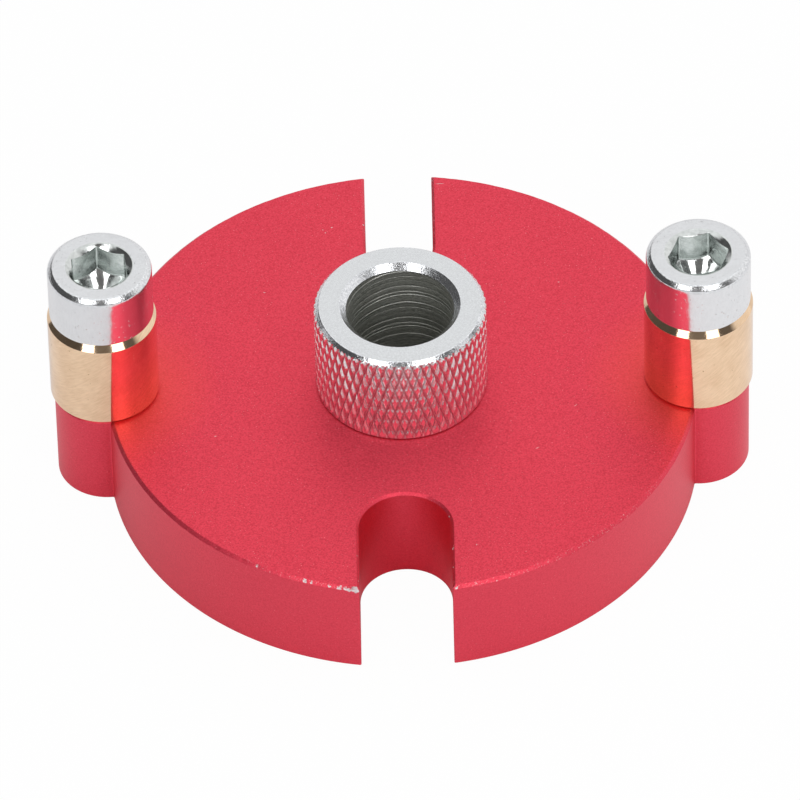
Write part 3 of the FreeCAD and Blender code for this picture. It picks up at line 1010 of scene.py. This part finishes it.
def bore_steel():
    """The drilled bore: the drill's spiral marks, unevenly spaced, over a dull grey. The marks
    carry painted highlights and shade, and the grey has painted shade towards the deep end.
    """
    paint = Paint("zinc_bore")
    x, y, z = paint.parts(paint.coordinates)
    height = paint.math("DIVIDE", z, MM)
    angle = paint.math("ARCTAN2", y, x)
    climb = paint.math("MULTIPLY_ADD", angle, BORE_CLIMB, height)
    climb = paint.math("MULTIPLY_ADD", paint.noise(4.0, 1.0), 0.25, climb)
    turns = paint.math("DIVIDE", climb, 2 * math.pi * BORE_CLIMB)
    marks = paint.greys(paint.math("FRACT", turns), BORE_MARKS)
    fine = paint.noise(0.35, 3.0, (1, 1, 5), rough=0.7)
    lines = paint.noise_along(climb, 3.4, 3.0, 0.7)
    strong = paint.ramp(paint.noise(2.2, 1.0, shift=0.9), 0.35, 0.60, 0.25, 1.0)
    # The marks and lines carry painted highlights and painted shade in their colour, besides their
    # relief.
    light = paint.times(paint.ramp(marks, 0.55, 0.9), strong)
    shade = paint.times(paint.ramp(marks, 0.45, 0.30), strong)
    tone = paint.ramp(fine, 0.35, 0.65)
    colour = paint.blend(tone, (0.33, 0.335, 0.30), (0.72, 0.725, 0.67))
    colour = paint.blend(paint.ramp(lines, 0.50, 0.68, 0.0, 0.5), colour, (0.80, 0.80, 0.76))
    colour = paint.blend(paint.ramp(lines, 0.30, 0.46, 0.6, 0.0), colour, (0.28, 0.285, 0.26))
    colour = paint.blend(light, colour, (0.95, 0.95, 0.91))
    colour = paint.blend(shade, colour, (0.22, 0.225, 0.20))
    # Painted shade: the bore is darkened towards its deep end.
    deep = paint.ramp(height, BUSH_TOP - 12, BUSH_TOP - 3, 0.45, 0.0)
    colour = paint.blend(deep, colour, (0.26, 0.25, 0.22))
    normal = paint.bumps((lines, 1.0, 0.05), (marks, 1.0, 0.10), (fine, 0.6, 0.03))
    return paint.metal(colour, 0.36, normal, share=0.75)


def brass():
    """Turned and polished brass with fine slanting marks and a few specks."""
    paint = Paint("brass")
    slanted = paint.node("Mapping", {
        "Vector": paint.coordinates, "Rotation": (0.0, math.radians(38), 0.0),
    }).outputs[0]
    marks = paint.noise(0.35, 3.0, (0.35, 0.35, 2.2), rough=0.6, over=slanted)
    fine = paint.noise(0.5, 2.0, (1, 1, 12))
    cloud = paint.noise(2.2, 3.0)
    tone = paint.ramp(paint.mean(marks, 0.55, cloud), 0.36, 0.64)
    colour = paint.blend(tone, (0.97, 0.715, 0.49), (0.83, 0.58, 0.375))
    specks = paint.ramp(paint.noise(0.30, 1.0, shift=0.6), 0.76, 0.80)
    colour = paint.blend(specks, colour, (0.45, 0.26, 0.13))
    rough = paint.ramp(fine, 0.3, 0.7, 0.06, 0.11)
    return paint.metal(colour, rough, paint.bumps((marks, 0.4, 0.006), (fine, 0.12, 0.003)))


# ---- studio

# Brightness of the studio's walls by bearing, in degrees
WALL_BRIGHTNESS = (
    (-180, 0.84), (-160, 0.84), (-148, 0.45), (-138, 0.10), (-45, 0.08), (-15, 0.25),
    (15, 0.25), (40, 0.12), (65, 0.12), (76, 0.80), (90, 0.92), (125, 0.92), (142, 0.86),
    (180, 0.86),
)
# Where the walls end and the ceiling is full, as the upward part of a direction
CEILING_EDGE = (0.64, 0.75)
# The dark patch of the ceiling above the near side: its elevation, and the angles at which it is
# gone and full
PATCH_ELEVATION = 45
PATCH_ANGLES = (17, 11)

# Softboxes: azimuth, elevation, then distance, width and height in metres, and radiance
SOFTBOXES = {
    "softbox_left": (-31, 36, 0.7, 0.24, 0.40, 2.8),
    "softbox_right": (30, 36, 0.7, 0.25, 0.40, 2.9),
    "softbox_above": (0, 89, 0.9, 0.5, 0.5, 0.25),
}

# Both in metres
FLOOR_REACH = 3.0
FLOOR_GAP = 0.0002

# The photograph's viewpoint in degrees and millimetres: a long lens, looking down at 45 degrees
CAMERA_AZIMUTH = 0.2016
CAMERA_ELEVATION = 44.9676
CAMERA_ROLL = -1.4678
CAMERA_TARGET = (0.0, 0.0, 10.0)
CAMERA_OFFSET = (-0.1702, -1.7572, 1100.0)
CAMERA_LENS = 528.1


def make_floor():
    """A white floor that keeps the object's shadow, and shows as white in metal and glass too. In
    metal it fades beneath the plate, where the plate's shadow lies."""
    mesh = bpy.data.meshes.new("studio_floor")
    corners = np.array([(-1, -1, 0), (1, -1, 0), (1, 1, 0), (-1, 1, 0)]) * FLOOR_REACH
    mesh.from_pydata(corners, [], [(0, 1, 2, 3)])
    floor = new_object("studio_floor", mesh)
    paint = Paint("studio_white")
    path = paint.node("LightPath").outputs
    x, y = paint.parts(paint.coordinates)[:2]
    away = paint.distance(x, y)
    mirrored = paint.math("MAXIMUM", path["Is Glossy Ray"], path["Is Transmission Ray"])
    # Painted light: in metal the floor's glow is stronger towards +X.
    painted_side_light = paint.ramp(x, -35 * MM, 25 * MM, 0.17, 0.45)
    unshaded = paint.times(painted_side_light, paint.ramp(away, 24 * MM, 31 * MM))
    seen = paint.math("MAXIMUM", path["Is Camera Ray"], paint.times(mirrored, unshaded))
    # Painted shadow: for every ray the glow drops to 0.12 within 7 mm of the axis, beneath the
    # bore.
    seen = paint.times(seen, paint.ramp(away, 7 * MM, 13 * MM, 0.12, 0.975))
    paint.finish(Base_Color=(0.88, 0.88, 0.89), Roughness=0.9, Specular_IOR_Level=0.1)
    glow = paint.node("Emission").outputs[0]
    mixed = paint.node("MixShader", {0: seen, 1: paint.shader.outputs[0], 2: glow})
    paint.feed(paint.tree.nodes["Material Output"].inputs["Surface"], mixed.outputs[0])
    mesh.materials.append(paint.material)
    floor.location.z = cad_box[0].z - FLOOR_GAP


def direction(azimuth, elevation):
    """The way to a point seen at an azimuth from the near side towards +X and an elevation."""
    a, e = math.radians(azimuth), math.radians(elevation)
    return np.array([math.sin(a) * math.cos(e), -math.cos(a) * math.cos(e), math.sin(e)])


def stand(thing, right, up, back, place):
    """Puts an object at a place, with its own axes along the three given ways."""
    axes = np.eye(4)
    axes[:3] = np.column_stack([right, up, back, place])
    thing.matrix_world = Matrix(axes)


def make_softbox(name, azimuth, elevation, distance, width, height, radiance):
    lamp = bpy.data.lights.new(name, "AREA")
    lamp.shape = "RECTANGLE"
    lamp.size, lamp.size_y = width, height
    lamp.energy = radiance * math.pi * width * height
    way = direction(azimuth, elevation)
    right = np.cross((0, 0, 1), way)
    right /= np.linalg.norm(right)
    box = new_object(name, lamp)
    stand(box, right, np.cross(way, right), way, way * distance)
    box.visible_camera = False


def make_world():
    """A pale ceiling and back wall, darker sides, and a dark patch above the near side. The walls'
    brightness goes by bearing from the near side towards +X."""
    world = bpy.data.worlds.new("studio")
    bpy.context.scene.world = world
    world.use_nodes = True
    sky = Nodes(world.node_tree)
    way = sky.node("TexCoord").outputs["Generated"]
    x, y, z = sky.parts(way)
    around = sky.ramp(sky.math("ARCTAN2", x, sky.times(y, -1.0)), -math.pi, math.pi)
    walls = sky.greys(around, [((turn + 180) / 360, grey) for turn, grey in WALL_BRIGHTNESS])
    leaning = sky.math("MULTIPLY_ADD", x, 0.03, z)
    ceiling = sky.ramp(leaning, *CEILING_EDGE, interpolation_type="SMOOTHSTEP")
    overhead = sky.blend(sky.ramp(z, 0.80, 1.0), (0.99, 1.0, 1.0), (0.80, 0.81, 0.82))
    room = sky.blend(ceiling, walls, overhead)
    towards_patch = sky.node("VectorMath", {
        0: way, 1: tuple(direction(0, PATCH_ELEVATION)),
    }, operation="DOT_PRODUCT").outputs["Value"]
    gone, full = (math.cos(math.radians(angle)) for angle in PATCH_ANGLES)
    patch = sky.ramp(towards_patch, gone, full, interpolation_type="SMOOTHSTEP")
    ground = world.node_tree.nodes["Background"].inputs["Color"]
    sky.feed(ground, sky.blend(patch, room, (0.18, 0.175, 0.17)))


def make_camera():
    azimuth, roll = math.radians(CAMERA_AZIMUTH), math.radians(CAMERA_ROLL)
    back = direction(CAMERA_AZIMUTH, CAMERA_ELEVATION)
    level = np.array([math.cos(azimuth), math.sin(azimuth), 0.0])
    tall = np.cross(level, -back)
    right = math.cos(roll) * level + math.sin(roll) * tall
    up = -math.sin(roll) * level + math.cos(roll) * tall
    offset = np.array(CAMERA_OFFSET) @ [right, up, back]
    lens = bpy.data.cameras.new("camera")
    lens.sensor_width = 36.0
    lens.lens = CAMERA_LENS
    lens.clip_start, lens.clip_end = 0.01, 20.0
    camera = new_object("camera", lens)
    stand(camera, right, up, back, (np.array(CAMERA_TARGET) + offset) * MM)
    bpy.context.scene.camera = camera


# ---- assembly

make_plate([red_anodised()])
make_bush([
    knurled_steel(),
    turned_steel("zinc_turned", (0.785, 0.80, 0.815), (0.72, 0.73, 0.745),
                 roughness=0.22, ring_depth=0.0002, pit_size=0.14, pit_depth=0.003),
    bore_steel(),
    turned_steel("zinc_edge", (0.92, 0.93, 0.95), (0.66, 0.67, 0.70),
                 roughness=0.12, ring_depth=0.008, pit_size=0.22, pit_depth=0.034),
])
screw_finish = [
    steel("screw_plate", (0.84, 0.845, 0.86), (0.80, 0.805, 0.82), 0.16, 0.22, 0.005,
          stretch=(1, 1, 0.4), wave_depth=0.03, darker_face_height=SCREW_TOP),
    steel("screw_socket", (0.78, 0.80, 0.79), (0.62, 0.64, 0.63), 0.10, 0.45, 0.022, strength=0.6),
    steel("screw_edge", (0.90, 0.905, 0.92), (0.66, 0.67, 0.69), 0.11, 0.16, 0.026, strength=0.9),
    steel("screw_hexagon", (0.90, 0.93, 0.92), (0.74, 0.78, 0.76), 0.20, 0.40, 0.016,
          strength=0.6),
]
brass_finish = [brass()]
for post_side, post_sign in (("left", -1), ("right", 1)):
    make_screw(post_side, post_sign * POST_OFFSET, screw_finish)
    make_sleeve(post_side, post_sign * POST_OFFSET, brass_finish)

make_floor()
make_world()
for softbox, settings in SOFTBOXES.items():
    make_softbox(softbox, *settings)
make_camera()
bpy.context.scene.view_settings.view_transform = "Standard"
